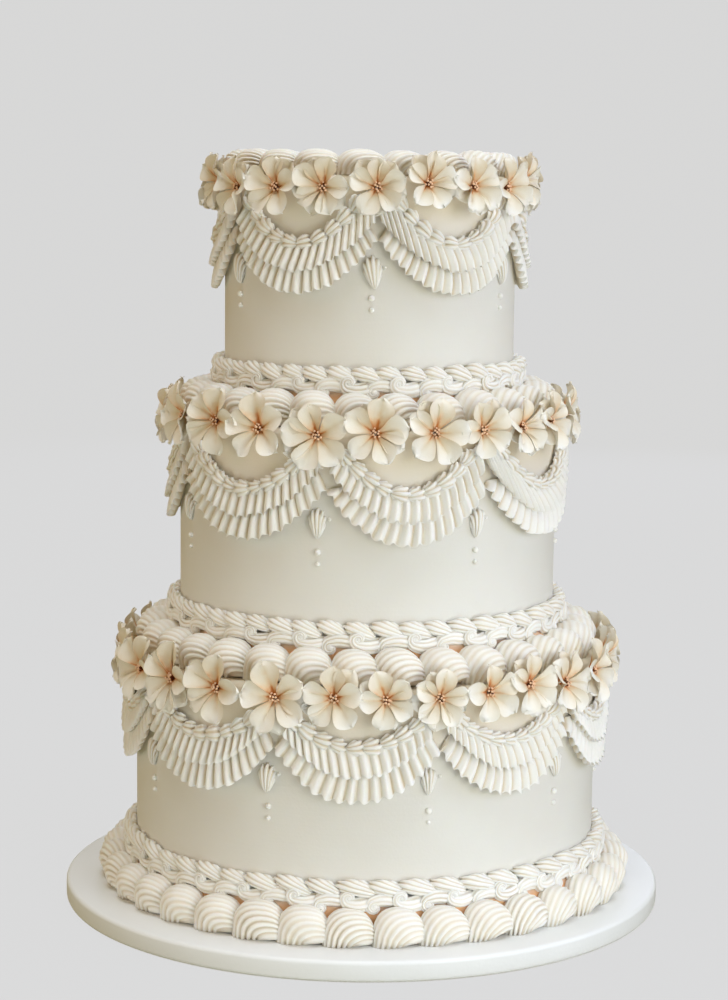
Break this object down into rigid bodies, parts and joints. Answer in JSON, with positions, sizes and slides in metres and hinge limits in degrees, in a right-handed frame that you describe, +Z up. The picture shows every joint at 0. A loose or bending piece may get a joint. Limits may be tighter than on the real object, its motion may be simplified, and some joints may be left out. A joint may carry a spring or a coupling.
{
  "type": "tiered cake",
  "caption": "Round tiered celebration cake in ivory icing, over-piped with ruffled swags, shell and rope borders and sugar blossoms, on a round drum board.",
  "frame": {"origin": "centre of the board's underside, on the surface it rests on", "axes": "+Z up along the cake's axis, -Y the pictured front, +X to the right of the picture"},
  "size_m": [0.3556, 0.3556, 0.4434],
  "materials": {
    "wall_icing": "smooth matt ivory icing with faint scraper marks",
    "piped_icing": "piped off-white icing, soft satin",
    "blossom_sugar": "thin matt sugar-paste petals, cream with peach throats",
    "board_white": "smooth white covering, satin"
  },
  "bodies": {
    "root": {"board": "board_white", "garland_bottom": "blossom_sugar", "garland_middle": "blossom_sugar", "garland_top": "blossom_sugar", "rope_bottom": "piped_icing", "rope_middle": "piped_icing", "rope_top": "piped_icing", "shells_base": "piped_icing", "shells_bottom": "piped_icing", "shells_middle": "piped_icing", "shells_top": "piped_icing", "swag_bottom_01": "piped_icing", "swag_bottom_02": "piped_icing", "swag_bottom_03": "piped_icing", "swag_bottom_04": "piped_icing", "swag_bottom_05": "piped_icing", "swag_bottom_06": "piped_icing", "swag_bottom_07": "piped_icing", "swag_bottom_08": "piped_icing", "swag_bottom_09": "piped_icing", "swag_bottom_10": "piped_icing", "swag_middle_01": "piped_icing", "swag_middle_02": "piped_icing", "swag_middle_03": "piped_icing", "swag_middle_04": "piped_icing", "swag_middle_05": "piped_icing", "swag_middle_06": "piped_icing", "swag_middle_07": "piped_icing", "swag_top_01": "piped_icing", "swag_top_02": "piped_icing", "swag_top_03": "piped_icing", "swag_top_04": "piped_icing", "swag_top_05": "piped_icing", "swag_top_06": "piped_icing", "tier_bottom": "wall_icing", "tier_middle": "wall_icing", "tier_top": "wall_icing"}
  },
  "joints": []
}
